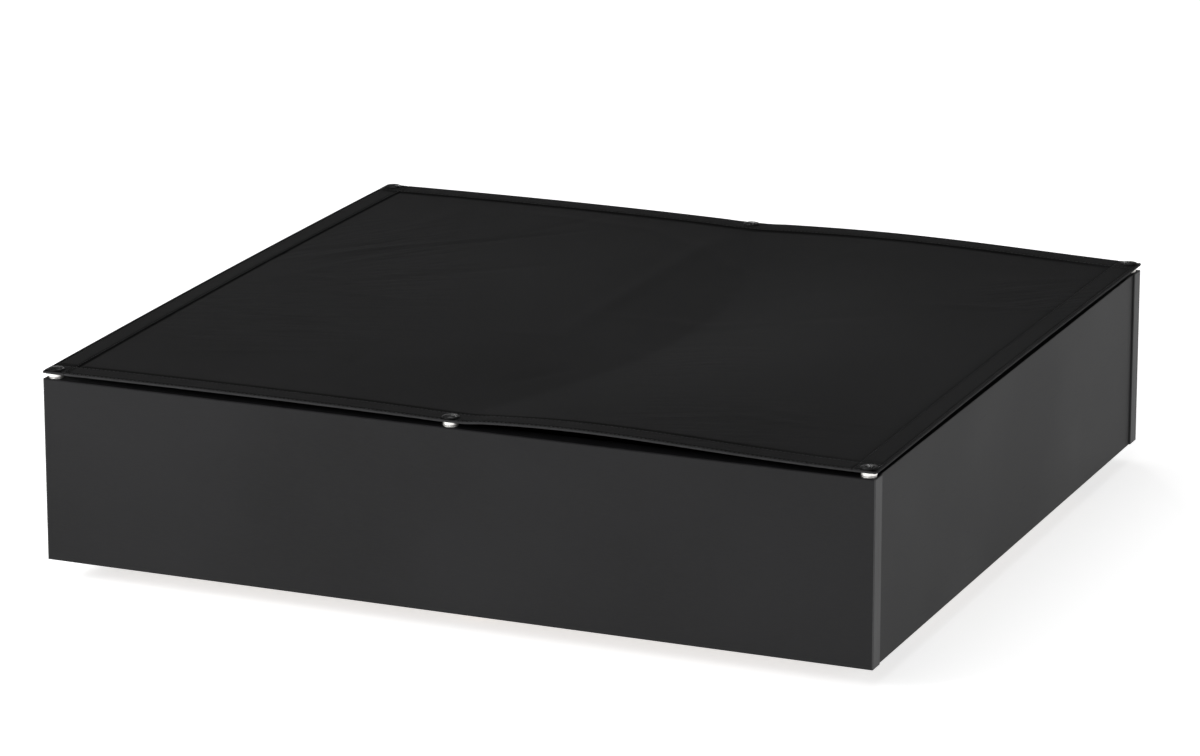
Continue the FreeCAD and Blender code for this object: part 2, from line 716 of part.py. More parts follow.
def make_studs():
    """Screw studs: a wood screw, a flange, a neck and a head, about the panels' top edges."""
    slope = dim.stud_head_slope
    stud = turned("stud", [
        (0, -dim.stud_grip), (dim.screw_radius, dim.screw_radius - dim.stud_grip),
        (dim.screw_radius, 0), (dim.stud_flange_radius, 0),
        (dim.stud_flange_radius, dim.stud_flange_height),
        (dim.stud_neck_radius, dim.stud_flange_height), (dim.stud_neck_radius, stud_head_z),
        (dim.stud_head_radius, stud_head_z + slope), (dim.stud_head_radius, stud_top - slope),
        (dim.stud_head_radius - slope, stud_top), (0, stud_top),
    ])
    for end, way in ENDS.items():
        keep_group(f"{end}_screw_studs", stud, row_of_studs(way, panel_top))


def make_press_parts():
    """Sockets under the cloth, the ring springs in them, and the caps on top."""
    bore = dim.stud_head_radius + dim.press_side_play
    spring_z = stud_head_z - dim.spring_wire_radius
    spring_inside = dim.stud_head_radius - dim.spring_grip
    seat = spring_inside + dim.spring_wire_radius * 2 + dim.spring_play
    seat_low = spring_z - dim.spring_wire_radius - dim.spring_play / 2
    seat_high = spring_z + dim.spring_wire_radius + dim.spring_play / 2
    socket = turned("socket", [
        (bore, press_low), (dim.press_radius, press_low), (dim.press_radius, cloth_low),
        (dim.cap_post_radius, cloth_low), (dim.cap_post_radius, press_ceiling),
        (bore, press_ceiling), (bore, seat_high), (seat, seat_high), (seat, seat_low),
        (bore, seat_low),
    ])
    rounded(socket, dim.press_edge,
            lambda edge: is_ring(edge, dim.press_radius, press_low)
            or is_ring(edge, dim.press_radius, cloth_low))

    spring = doc.addObject("Part::Torus", "ring_spring")
    bind(spring, "Radius1", spring_inside + dim.spring_wire_radius)
    bind(spring, "Radius2", dim.spring_wire_radius)
    place(spring, (NOTHING, NOTHING, spring_z))
    springs = doc.addObject("Part::Compound", "ring_spring_at_height")
    springs.Links = [spring]

    cap_low = cloth_low + dim.cover_thickness
    cap = turned("cap", [
        (0, press_ceiling), (dim.cap_post_radius, press_ceiling), (dim.cap_post_radius, cap_low),
        (dim.cap_radius, cap_low), (dim.cap_radius, cap_low + dim.cap_height),
        (0, cap_low + dim.cap_height),
    ])
    rounded(cap, dim.cap_crown,
            lambda edge: is_ring(edge, dim.cap_radius, cap_low + dim.cap_height))

    for end, way in ENDS.items():
        keep_group(f"{end}_snap_sockets", socket, row_of_studs(way, panel_top))
        keep_group(f"{end}_snap_springs", springs, row_of_studs(way, panel_top))
        keep_group(f"{end}_snap_caps", cap, row_of_studs(way, panel_top))


def make_cover(name, low_y, high_y, way):
    """A part of the cloth cover, with round outer corners and holes for its three cap posts."""
    cloth = padded(f"{name}_cloth", "XY_Plane", rectangle(-cover_x, low_y, cover_x, high_y),
                   dim.cover_thickness)
    outer_y = (cover_y * way).value
    rounded(cloth, dim.cover_corner,
            lambda edge: is_along(edge, FreeCAD.Vector(0, 0, 1))
            and abs(edge.Vertexes[0].Y - outer_y) < 1e-4)
    place(cloth, (NOTHING, NOTHING, cover_z))
    holes = [
        add_rod(f"{name}_hole_{number}", (x, stud_y * way, cover_z), "z", dim.cap_post_radius,
                dim.cover_thickness)
        for number, x in enumerate((-stud_x, NOTHING, stud_x), start=1)
    ]
    keep(add_cut(name, cloth, holes), name)


for end in ENDS:
    make_end_panel(end)
    make_holder(end)
for side in SIDES:
    make_side_panel(side)
make_bottom()
make_batten()
make_wood_screws()
make_corner_fasteners()
for end in ENDS:
    for side in SIDES:
        make_castor(end, side)
make_studs()
make_press_parts()
make_cover("cover_front_part", -cover_y, fold_y - dim.fold_gap, -1)
make_cover("cover_back_part", fold_y, cover_y, 1)

# ------------------------------------------------------------------------------- checks and export
doc.recompute()
for item in doc.Objects:
    if "Invalid" in item.State or "Error" in item.State:
        raise RuntimeError(f"{item.Name} failed: {item.State}")

os.makedirs("parts", exist_ok=True)
for item in sub_parts:
    shape = Part.getShape(item)
    if shape.isNull() or not shape.isValid() or not shape.Solids:
        raise RuntimeError(f"{item.Label} has no valid solid")
    shape.exportStep(f"parts/{item.Label}.step")
    box = shape.BoundBox
    print(f"{item.Label}: {len(shape.Solids)} solids, {shape.Volume:.1f} mm3, "
          f"z {box.ZMin:.2f} to {box.ZMax:.2f}")
print(f"{len(sub_parts)} sub-parts")
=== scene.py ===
"""Looks of the under-bed storage box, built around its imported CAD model.

The frame is in metres: +X runs right along the front panel, which faces -Y, and +Z is up.
"""

import json
import math
import random

import bmesh
import bpy
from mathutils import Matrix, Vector


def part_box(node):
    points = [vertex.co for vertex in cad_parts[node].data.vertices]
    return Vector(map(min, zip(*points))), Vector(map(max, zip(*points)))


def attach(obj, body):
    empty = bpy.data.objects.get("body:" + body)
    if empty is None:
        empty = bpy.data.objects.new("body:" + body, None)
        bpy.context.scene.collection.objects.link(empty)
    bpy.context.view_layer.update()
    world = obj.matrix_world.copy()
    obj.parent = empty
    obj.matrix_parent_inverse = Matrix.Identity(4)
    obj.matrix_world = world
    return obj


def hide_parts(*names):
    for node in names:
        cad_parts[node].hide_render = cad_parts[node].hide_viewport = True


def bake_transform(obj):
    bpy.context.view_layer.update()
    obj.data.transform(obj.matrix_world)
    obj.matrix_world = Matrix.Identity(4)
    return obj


MM = 0.001

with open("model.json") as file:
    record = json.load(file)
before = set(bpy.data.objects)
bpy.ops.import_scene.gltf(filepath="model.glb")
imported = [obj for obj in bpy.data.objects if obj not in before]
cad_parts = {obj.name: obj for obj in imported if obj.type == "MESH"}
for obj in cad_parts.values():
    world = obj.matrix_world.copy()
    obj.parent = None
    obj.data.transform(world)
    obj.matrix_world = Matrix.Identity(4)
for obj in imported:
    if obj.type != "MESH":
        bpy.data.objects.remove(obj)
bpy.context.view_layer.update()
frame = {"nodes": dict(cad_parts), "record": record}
nodes = frame["nodes"]

# ------------------------------------------------------------------------- sizes from the frame
back_low, back_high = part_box("cover_back_part")
COVER_X = back_high.x
COVER_Y = back_high.y
CLOTH_TOP = back_high.z
FOLD_Y = back_low.y
cap_low, cap_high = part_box("front_snap_caps")
CAP_RADIUS = (cap_high.y - cap_low.y) / 2
STUD_X = cap_high.x - CAP_RADIUS
STUD_Y = -(cap_low.y + CAP_RADIUS)

# ----------------------------------------------------------------------------- the cover's sizes
CORNER = 4 * MM
HEM_THICK = 1.9 * MM
HEM_RADIUS = HEM_THICK / 2
HEM_PUFF = 0.1 * MM                  # the hem swells between its two seams
HEM_STEP = 0.7 * MM                  # the top face drops by this much inside the hem
HEM_STEP_SPAN = (0.5 * MM, 1.9 * MM)    # where it drops, from the inner seam
SINGLE_THICK = 0.7 * MM
SEAMS = (3.2 * MM, 19.8 * MM)        # seam lines, from the edge
SEAM_DEPTHS = (0.45 * MM, 0.3 * MM)
SEAM_SPREAD = 0.9 * MM
UNDER_SEAM_SHARE = 0.5               # depth of the seams on the underside, against the top
PUCKER_DEPTH = 0.65 * MM             # the hem's seam pulls the single cloth down beside it
PUCKER_SPREAD = 4.5 * MM
STUD_FLAT = 1.5 * MM                 # flat ring of cloth round each cap
STUD_EASE = 24 * MM                  # from the cap to where the cloth is free of it

# ---------------------------------------------------------------------------- node-graph helpers


class Graph:
    """A material under construction: adds shader nodes and links them."""

    def __init__(self, name):
        self.material = bpy.data.materials.new(name)
        self.material.use_nodes = True
        self.tree = self.material.node_tree
        self.tree.nodes.clear()
        self.output = self.add("ShaderNodeOutputMaterial")
        self.shader = self.add("ShaderNodeBsdfPrincipled")
        self.link(self.shader.outputs["BSDF"], self.output.inputs["Surface"])

    def add(self, kind, **settings):
        node = self.tree.nodes.new(kind)
        for key, value in settings.items():
            setattr(node, key, value)
        return node

    def link(self, a, b):
        self.tree.links.new(a, b)

    def feed(self, socket, value):
        """Sets a socket to a number or colour, or links it to an output."""
        if isinstance(value, bpy.types.NodeSocket):
            self.link(value, socket)
        else:
            socket.default_value = value

    def principled(self, **values):
        """Sets constants on the shader's own sockets; names use _ for a space."""
        for key, value in values.items():
            self.shader.inputs[key.replace("_", " ")].default_value = value

    def place(self, source="Object", scale=(1, 1, 1), turn=(0, 0, 0)):
        """Object or UV coordinates, stretched and turned."""
        coords = self.add("ShaderNodeTexCoord")
        mapping = self.add("ShaderNodeMapping")
        mapping.inputs["Scale"].default_value = scale
        mapping.inputs["Rotation"].default_value = turn
        self.link(coords.outputs[source], mapping.inputs["Vector"])
        return mapping.outputs["Vector"]

    def run(self, length, width, turn):
        """UV coordinates for marks of this length and width that run at this angle."""
        coords = self.add("ShaderNodeTexCoord")
        mapping = self.add("ShaderNodeMapping", vector_type="TEXTURE")
        mapping.inputs["Scale"].default_value = (length, width, 1)
        mapping.inputs["Rotation"].default_value = (0, 0, math.radians(turn))
        self.link(coords.outputs["UV"], mapping.inputs["Vector"])
        return mapping.outputs["Vector"]

    def near(self, at, centre, inner, outer):
        """1 within the inner radius of a centre, 0 beyond the outer one."""
        away = self.add("ShaderNodeVectorMath", operation="DISTANCE")
        self.link(at, away.inputs[0])
        away.inputs[1].default_value = (*centre, 0)
        return self.spread(away.outputs["Value"], 1.0, 0.0, inner, outer)

    def noise(self, vector, scale, detail=3.0, rough=0.55, distortion=0.0):
        node = self.add("ShaderNodeTexNoise")
        self.feed(node.inputs["Vector"], vector)
        node.inputs["Scale"].default_value = scale
        node.inputs["Detail"].default_value = detail
        node.inputs["Roughness"].default_value = rough
        node.inputs["Distortion"].default_value = distortion
        return node.outputs["Fac"]

    def voronoi(self, vector, scale, randomness=1.0):
        node = self.add("ShaderNodeTexVoronoi")
        self.feed(node.inputs["Vector"], vector)
        node.inputs["Scale"].default_value = scale
        node.inputs["Randomness"].default_value = randomness
        return node.outputs["Distance"]

    def wave(self, vector, scale, distortion=0.0, detail=2.0):
        node = self.add("ShaderNodeTexWave")
        self.feed(node.inputs["Vector"], vector)
        node.inputs["Scale"].default_value = scale
        node.inputs["Distortion"].default_value = distortion
        node.inputs["Detail"].default_value = detail
        return node.outputs["Fac"]

    def math(self, operation, a, b=0.0):
        node = self.add("ShaderNodeMath", operation=operation)
        self.feed(node.inputs[0], a)
        self.feed(node.inputs[1], b)
        return node.outputs[0]

    def spread(self, value, low, high, from_low=0.0, from_high=1.0):
        """Maps a value's range onto another, clamped."""
        node = self.add("ShaderNodeMapRange", clamp=True)
        self.feed(node.inputs["Value"], value)
        for key, number in (("From Min", from_low), ("From Max", from_high),
                            ("To Min", low), ("To Max", high)):
            node.inputs[key].default_value = number
        return node.outputs["Result"]

    def blend(self, factor, a, b):
        """Mixes two colours; the indices are those of the node's colour sockets."""
        node = self.add("ShaderNodeMix", data_type="RGBA")
        self.feed(node.inputs["Factor"], factor)
        self.feed(node.inputs[6], a)
        self.feed(node.inputs[7], b)
        return node.outputs[2]

    def bump(self, height, depth, strength, normal=None):
        node = self.add("ShaderNodeBump")
        node.inputs["Strength"].default_value = strength
        node.inputs["Distance"].default_value = depth
        self.feed(node.inputs["Height"], height)
        if normal is not None:
            self.link(normal, node.inputs["Normal"])
        return node.outputs["Normal"]

    def finish(self, colour, rough, normal=None):
        self.feed(self.shader.inputs["Base Color"], colour)
        self.feed(self.shader.inputs["Roughness"], rough)
        if normal is not None:
            self.link(normal, self.shader.inputs["Normal"])
        return self.material


def grey(level, blue=0.0):
    """A grey colour, with a little more blue if asked."""
    return (level, level, level + blue, 1.0)


# ------------------------------------------------------------------------------------- materials


def make_panel_foil():
    """Smooth black foil over particleboard: satin, faint print grain, a slow unevenness of the
    board beneath, and fine handling marks."""
    g = Graph("panel_foil_black")
    at = g.place()
    clouds = g.noise(at, 5.0, 3.0, 0.5)
    grain = g.noise(g.place(scale=(60, 60, 900)), 3.0, 4.0, 0.6)
    peel = g.noise(at, 900.0, 2.0, 0.5)
    board = g.noise(at, 26.0, 2.0, 0.4)
    scuffs = g.noise(g.place(scale=(9, 9, 160), turn=(0.3, 0.2, 0.1)), 4.0, 6.0, 0.7, 0.6)
    tone = g.blend(g.spread(clouds, 0.0, 1.0, 0.35, 0.65), grey(0.0180, 0.0004), grey(0.0215, 0.0007))
    tone = g.blend(g.spread(grain, 0.0, 0.35, 0.4, 0.7), tone, grey(0.027, 0.0008))
    tone = g.blend(g.spread(scuffs, 0.0, 0.25, 0.66, 0.8), tone, grey(0.034, 0.001))
    rough = g.spread(clouds, 0.40, 0.47, 0.35, 0.65)
    rough = g.math("ADD", rough, g.spread(scuffs, 0.0, 0.12, 0.6, 0.8))
    g.principled(IOR=1.45, Specular_IOR_Level=0.05)
    normal = g.bump(board, 0.00012, 0.35)
    normal = g.bump(peel, 0.00002, 0.35, normal)
    return g.finish(tone, rough, normal)


def make_panel_edging(name, dark, light, level, streak):
    """Black plastic edging: drawn lengthwise, so it has faint streaks, and a fine grain."""
    g = Graph(name)
    at = g.place()
    streaks = g.noise(g.place(scale=streak), 1.0, 3.0, 0.6)
    specks = g.noise(at, 1400.0, 2.0, 0.5)
    clouds = g.noise(at, 9.0, 3.0, 0.5)
    tone = g.blend(g.spread(streaks, 0.0, 1.0, 0.3, 0.7), grey(dark, 0.0005), grey(light, 0.001))
    tone = g.blend(g.spread(clouds, 0.0, 0.4, 0.4, 0.7), tone, grey(light * 1.15, 0.001))
    rough = g.spread(streaks, 0.42, 0.56, 0.3, 0.7)
    g.principled(IOR=1.5, Specular_IOR_Level=level)
    normal = g.bump(streaks, 0.00004, 0.5)
    normal = g.bump(specks, 0.00002, 0.3, normal)
    return g.finish(tone, rough, normal)


CLOTH_DOT_PITCH = 1.3 * MM
# Dark lines along the seams, partly the thread's dark and partly painted shade beside the hem's
# step: (distance from the edge, fully dark within, gone beyond), first for the cover's two side
# edges and then for its front and back edges.
SIDE_SEAM_SHADE_LINES = ((SEAMS[0], 0.4 * MM, 1.3 * MM), (SEAMS[1] + 0.9 * MM, 1.0 * MM, 3.0 * MM))
END_SEAM_SHADE_LINES = ((SEAMS[0], 0.9 * MM, 2.0 * MM), (SEAMS[1] + 2.8 * MM, 3.2 * MM, 5.6 * MM))
# Painted light: paler patches on the two pillows, where their bulges face the light.
PAINTED_PILLOW_LIGHT_RADII = (0.05, 0.28)          # fully pale within, gone beyond
PAINTED_PILLOW_LIGHTS = (((-0.15, 0.02), 0.30), ((0.20, -0.03), 0.60))    # (centre, share)
RIPPLE_LENGTH, RIPPLE_WIDTH = 55 * MM, 7.5 * MM
RIPPLE_DEPTH = 1.8 * MM
# Patches of fine ripples: (centre, full within, gone beyond, direction in degrees).
RIPPLES = (
    ((-0.24, -0.10), 0.02, 0.15, 14), ((-0.20, 0.02), 0.01, 0.09, 30),
    ((0.20, -0.25), 0.02, 0.10, 20), ((0.12, -0.11), 0.01, 0.08, 12),
    ((-0.26, 0.12), 0.01, 0.12, 52), ((0.31, 0.18), 0.01, 0.08, 48),
)


def make_cover_cloth():
    """Black non-woven cloth: pressed fibres, embossed with a fine lattice of small bonds, with
    patches of fine ripples.  Dark lines along the seams are partly the thread and partly painted
    shade beside the hem's step, and the hem band is darker.  Paler patches on its pillows are
    painted light, and a pale line along the fold of the hem is a painted highlight."""
    g = Graph("cover_cloth_black")
    at = g.place("UV")
    lattice = g.voronoi(g.place("UV", turn=(0, 0, math.radians(45))), 1.0 / CLOTH_DOT_PITCH,
                        randomness=0.12)
    bonds = g.spread(lattice, 0.0, 1.0, 0.18, 0.42)
    fibre_a = g.noise(g.place("UV", scale=(160, 2600, 1), turn=(0, 0, 0.5)), 1.0, 3.0, 0.6, 0.8)
    fibre_b = g.noise(g.place("UV", scale=(2600, 160, 1), turn=(0, 0, -0.3)), 1.0, 3.0, 0.6, 0.8)
    fibres = g.math("MAXIMUM", fibre_a, fibre_b)
    clouds = g.noise(at, 7.0, 4.0, 0.55)
    lint = g.noise(at, 260.0, 4.0, 0.75)

    insets = inset_from_edges(g, at)
    hem = g.math("MINIMUM", *insets)
    # Painted highlight along the rim of the hem, broken up by noise.
    painted_rim_highlight = g.math("MULTIPLY", g.spread(hem, 1.0, 0.0, 0.25 * MM, 1.3 * MM),
                  g.spread(g.noise(at, 120.0, 3.0, 0.6), 0.65, 1.0, 0.3, 0.6))
    seams = 0.0
    for inset, marks in zip(insets, (SIDE_SEAM_SHADE_LINES, END_SEAM_SHADE_LINES)):
        for seam, near, far in marks:
            off = g.math("ABSOLUTE", g.math("SUBTRACT", inset, seam))
            seams = g.math("MAXIMUM", seams, g.spread(off, 1.0, 0.0, near, far))
    split = g.add("ShaderNodeSeparateXYZ")
    g.link(at, split.inputs["Vector"])
    eased = g.spread(split.outputs["X"], 1.0, 0.4, 0.24, 0.34)   # fainter along the right edge
    # Painted light on the two pillows.
    pillows = 0.0
    for centre, share in PAINTED_PILLOW_LIGHTS:
        pillow_light_spot = g.math("MULTIPLY", g.near(at, centre, *PAINTED_PILLOW_LIGHT_RADII), share)
        pillows = g.math("MAXIMUM", pillows, pillow_light_spot)
    # The hem band is darker, by up to 30%, and less so along the right edge.
    doubled = g.spread(hem, 1.0, 0.0, SEAMS[1], SEAMS[1] + 2 * MM)

    ripples = 0.0
    for centre, inner, outer, turn in RIPPLES:
        waves = g.noise(g.run(RIPPLE_LENGTH, RIPPLE_WIDTH, turn), 1.0, 2.0, 0.5)
        region = g.near(at, centre, inner, outer)
        ripples = g.math("ADD", ripples, g.math("MULTIPLY", waves, region))

    tone = g.blend(g.spread(clouds, 0.0, 1.0, 0.32, 0.68), grey(0.0115, 0.0002), grey(0.0145, 0.0004))
    tone = g.blend(g.spread(fibres, 0.0, 0.7, 0.45, 0.8), tone, grey(0.022, 0.0005))
    tone = g.blend(g.spread(bonds, 0.45, 0.0), tone, grey(0.007))
    tone = g.blend(g.spread(lint, 0.0, 0.5, 0.68, 0.82), tone, grey(0.034, 0.001))
    # Painted light on the pillows.
    tone = g.blend(pillows, tone, grey(0.022, 0.0005))
    doubled = g.math("MULTIPLY", g.math("MULTIPLY", doubled, 0.30), eased)
    tone = g.blend(doubled, tone, grey(0.007))
    # Seam lines: the dark thread, and painted shade beside the hem's step.
    seams = g.math("MULTIPLY", g.math("MULTIPLY", seams, 0.92), eased)
    tone = g.blend(seams, tone, grey(0.0015))
    # Painted highlight along the rim.
    tone = g.blend(painted_rim_highlight, tone, grey(0.034, 0.001))
    rough = g.spread(bonds, 0.72, 0.9)
    g.principled(IOR=1.45, Specular_IOR_Level=0.08)
    normal = g.bump(ripples, RIPPLE_DEPTH, 1.0)
    normal = g.bump(fibres, 0.00012, 0.5, normal)
    normal = g.bump(bonds, 0.00016, 0.6, normal)
    return g.finish(tone, rough, normal)


def inset_from_edges(g, at):
    """Distances from the cover's side edges and from its front and back edges."""
    split = g.add("ShaderNodeSeparateXYZ")
    g.link(at, split.inputs["Vector"])
    return [g.math("SUBTRACT", half, g.math("ABSOLUTE", split.outputs[axis]))
            for axis, half in (("X", COVER_X), ("Y", COVER_Y))]


def make_thread():
    """Black polyester sewing thread with its twist."""
    g = Graph("thread_black")
    twist = g.wave(g.place(turn=(0, 0, 0.7)), 900.0, 1.0)
    tone = g.blend(g.spread(twist, 0.0, 1.0), grey(0.006), grey(0.02, 0.001))
    g.principled(Specular_IOR_Level=0.4, Sheen_Weight=0.05)
    return g.finish(tone, g.spread(twist, 0.45, 0.65), g.bump(twist, 0.00008, 0.6))


def make_cap():
    """Black enamelled press-stud cap: satin, faintly cloudy, with tiny pits."""
    g = Graph("cap_black_enamel")
    at = g.place()
    pits = g.noise(at, 2400.0, 2.0, 0.5)
    clouds = g.noise(at, 300.0, 3.0, 0.5)
    tone = g.blend(g.spread(clouds, 0.0, 1.0, 0.35, 0.65), grey(0.008), grey(0.013, 0.0005))
    g.principled(IOR=1.5, Specular_IOR_Level=0.05)
    return g.finish(tone, g.spread(clouds, 0.24, 0.32, 0.3, 0.7), g.bump(pits, 0.00003, 0.4))


def make_metal(name, dark, light, low_rough, high_rough, scale=900.0,
               tint=(1.0, 0.985, 0.955)):
    """Plated or cast metal: cloudy plating, fine grain and small scratches."""
    g = Graph(name)
    grain = g.noise(g.place(), scale, 3.0, 0.6)
    clouds = g.noise(g.place(), 160.0, 4.0, 0.6)
    scratches = g.noise(g.place(scale=(1, 14, 5), turn=(0.4, 0.9, 0.2)), 300.0, 5.0, 0.75)

    def tinted(level):
        return (level * tint[0], level * tint[1], level * tint[2], 1.0)

    tone = g.blend(g.spread(clouds, 0.0, 1.0, 0.3, 0.7), tinted(dark), tinted(light))
    tone = g.blend(g.spread(scratches, 0.0, 0.5, 0.62, 0.76), tone, tinted(dark * 0.6))
    rough = g.math("ADD", g.spread(grain, low_rough, high_rough, 0.3, 0.7),
                   g.spread(scratches, 0.0, 0.12, 0.6, 0.75))
    g.principled(Metallic=1.0)
    return g.finish(tone, rough, g.bump(grain, 0.00002, 0.35))


def make_hardboard():
    """Brown hardboard: smooth pressed face with dark and pale fibres."""
    g = Graph("hardboard_brown")
    at = g.place()
    fibres = g.noise(g.place(scale=(30, 140, 140), turn=(0, 0, 0.4)), 6.0, 6.0, 0.75, 1.2)
    flecks = g.noise(at, 420.0, 5.0, 0.8)
    clouds = g.noise(at, 3.0, 3.0, 0.5)
    tone = g.blend(g.spread(clouds, 0.0, 1.0, 0.3, 0.7),
                   (0.115, 0.072, 0.040, 1), (0.15, 0.096, 0.055, 1))
    tone = g.blend(g.spread(fibres, 0.0, 0.6, 0.5, 0.75), tone, (0.21, 0.145, 0.085, 1))
    tone = g.blend(g.spread(flecks, 0.0, 0.7, 0.6, 0.75), tone, (0.06, 0.035, 0.02, 1))
    g.principled(Specular_IOR_Level=0.35)
    return g.finish(tone, g.spread(fibres, 0.5, 0.7, 0.3, 0.7), g.bump(fibres, 0.00008, 0.5))


def make_wood(name, pale, dark, ring_scale):
    """Planed wood with its grain along Y: growth rings, pores and a little dirt."""
    g = Graph(name)
    rings = g.wave(g.place(scale=(1, 0.035, 1), turn=(0.05, 0.08, 0.1)), ring_scale, 7.0, 4.0)
    pores = g.noise(g.place(scale=(900, 22, 900)), 1.0, 4.0, 0.65)
    clouds = g.noise(g.place(), 18.0, 3.0, 0.5)
    tone = g.blend(g.spread(rings, 0.0, 1.0, 0.2, 0.9), pale, dark)
    tone = g.blend(g.spread(pores, 0.0, 0.45, 0.55, 0.75), tone, dark)
    tone = g.blend(g.spread(clouds, 0.0, 0.25, 0.4, 0.7), tone, (0.30, 0.22, 0.15, 1))
    g.principled(Specular_IOR_Level=0.3)
    return g.finish(tone, g.spread(rings, 0.55, 0.72), g.bump(pores, 0.0001, 0.5))


def make_moulded(name, level, rough_low, rough_high):
    """Moulded black plastic: spark-eroded grain, faint flow marks and dust."""
    g = Graph(name)
    at = g.place()
    grain = g.voronoi(at, 1600.0)
    flow = g.noise(g.place(scale=(1, 1, 6)), 45.0, 3.0, 0.5, 0.8)
    dust = g.noise(at, 240.0, 5.0, 0.8)
    tone = g.blend(g.spread(flow, 0.0, 1.0, 0.3, 0.7), grey(level), grey(level * 1.5, 0.0006))
    tone = g.blend(g.spread(dust, 0.0, 0.35, 0.62, 0.8), tone, grey(0.09))
    rough = g.spread(flow, rough_low, rough_high, 0.3, 0.7)
    g.principled(IOR=1.49, Specular_IOR_Level=0.45)
    return g.finish(tone, rough, g.bump(grain, 0.00005, 0.5))


def make_rubber():
    """Dark grey tread: matt, dusty where it rolls, with fine ribs round it."""
    g = Graph("tyre_rubber_grey")
    at = g.place()
    ribs = g.wave(at, 320.0, 0.0, 0.0)
    dust = g.noise(at, 180.0, 5.0, 0.75)
    tone = g.blend(g.spread(dust, 0.0, 1.0, 0.45, 0.75), grey(0.03), grey(0.075, 0.001))
    tone = g.blend(g.spread(ribs, 0.35, 0.0, 0.0, 0.5), tone, grey(0.015))
    g.principled(Specular_IOR_Level=0.25)
    return g.finish(tone, g.spread(dust, 0.7, 0.9, 0.3, 0.7), g.bump(ribs, 0.00025, 0.6))


finishes = {
    "panel_foil": make_panel_foil(),
    "panel_edging": make_panel_edging("panel_edging_black", 0.036, 0.048, 0.16, (700, 700, 6)),
    # A much darker copy of the edging for the panels' top edges: painted shade where the cover shades
    # them.
    "panel_top_edging": make_panel_edging("panel_top_edging_painted_shade", 0.007, 0.011, 0.06,
                                          (60, 60, 700)),
    "cover_cloth": make_cover_cloth(),
    "cap_black": make_cap(),
    "stud_nickel": make_metal("nickel_bright", 0.88, 0.94, 0.42, 0.5, scale=300.0),
    "spring_steel": make_metal("spring_steel", 0.5, 0.62, 0.2, 0.35),
    "bottom_fibreboard": make_hardboard(),
    "batten_wood": make_wood("pine_planed", (0.56, 0.39, 0.22, 1), (0.38, 0.22, 0.10, 1), 55.0),
    "dowel_wood": make_wood("beech_raw", (0.60, 0.42, 0.26, 1), (0.47, 0.30, 0.17, 1), 110.0),
    "fitting_plastic": make_moulded("plastic_fitting_black", 0.018, 0.38, 0.52),
    "castor_plastic": make_moulded("plastic_castor_black", 0.014, 0.34, 0.5),
    "tyre_rubber": make_rubber(),
    "axle_steel": make_metal("axle_zinc", 0.48, 0.6, 0.26, 0.4, scale=700.0),
    "zinc_screw": make_metal("screw_zinc", 0.5, 0.66, 0.25, 0.42, tint=(1.0, 0.97, 0.9)),
    "cam_zinc": make_metal("cam_die_cast", 0.34, 0.46, 0.42, 0.6, scale=420.0,
                           tint=(1.0, 1.0, 1.0)),
}
thread = make_thread()

slot_of = {s["node"]: s["material_slot"] for s in frame["record"]["subparts"]}
for name, node in nodes.items():
    for holder in node.material_slots:
        holder.material = finishes[slot_of[name]]

# ------------------------------------------------------------------------------- the cloth cover


def smooth(value, low, high):
    """0 up to low, 1 from high on, and a smooth step between."""
    t = min(1.0, max(0.0, (value - low) / (high - low)))
    return t * t * (3 - 2 * t)


def hump(t, peak):
    """A bow from 0 to 1 and back over t in 0..1, highest at peak."""
    if not 0.0 < t < 1.0:
        return 0.0
    power = 1.0 / peak - 1.0
    return t * (1 - t) ** power / (peak * (1 - peak) ** power)


def mix(a, b, share):
    return a + (b - a) * share


def stud_flatness(x, y):
    """0 at a press stud, where the cap holds the cloth flat, and 1 away from it."""
    flat = 1.0
    for stud_x in (-STUD_X, 0.0, STUD_X):
        for stud_y in (-STUD_Y, STUD_Y):
            away = math.hypot(x - stud_x, y - stud_y)
            flat *= smooth(away, CAP_RADIUS + STUD_FLAT, CAP_RADIUS + STUD_EASE)
    return flat


# Pairs are values at the front edge and at the back edge, or left and right of the valley.
LEFT_RISES = (1.0 * MM, 1.5 * MM)    # bow of the cover's front and back edges, left of the middle
LEFT_PEAK = 0.45
RIGHT_RISES = (4.5 * MM, 3.7 * MM)
RIGHT_PEAKS = (0.33, 0.42)
RIGHT_POWER = 1.3
PILLOW_RISE = 3.6 * MM
PILLOW_POWERS = (0.6, 1.6)
VALLEY_SHIFT = 76 * MM               # the valley bends to the right, away from the studs
VALLEY_DEPTH = 2.1 * MM
VALLEY_POWER = 0.7                   # it reaches its depth sooner than a plain arch
VALLEY_SPREADS = (46 * MM, 80 * MM)  # steeper on its left than on its right
SIDE_RISE = 1.6 * MM                 # bow of the cover's side edges
SIDE_START = 0.16                    # where that bow begins, from the middle
RIDGE_X = -9 * MM                    # a low ridge on the valley's left, in the rear
RIDGE_RISE = 1.0 * MM
RIDGE_SPREAD = 9 * MM
RIDGE_STARTS = (-0.14, 0.02)         # it rises between these, from front to back
RIDGE_ENDS = (0.22, 0.29)            # and sinks between these

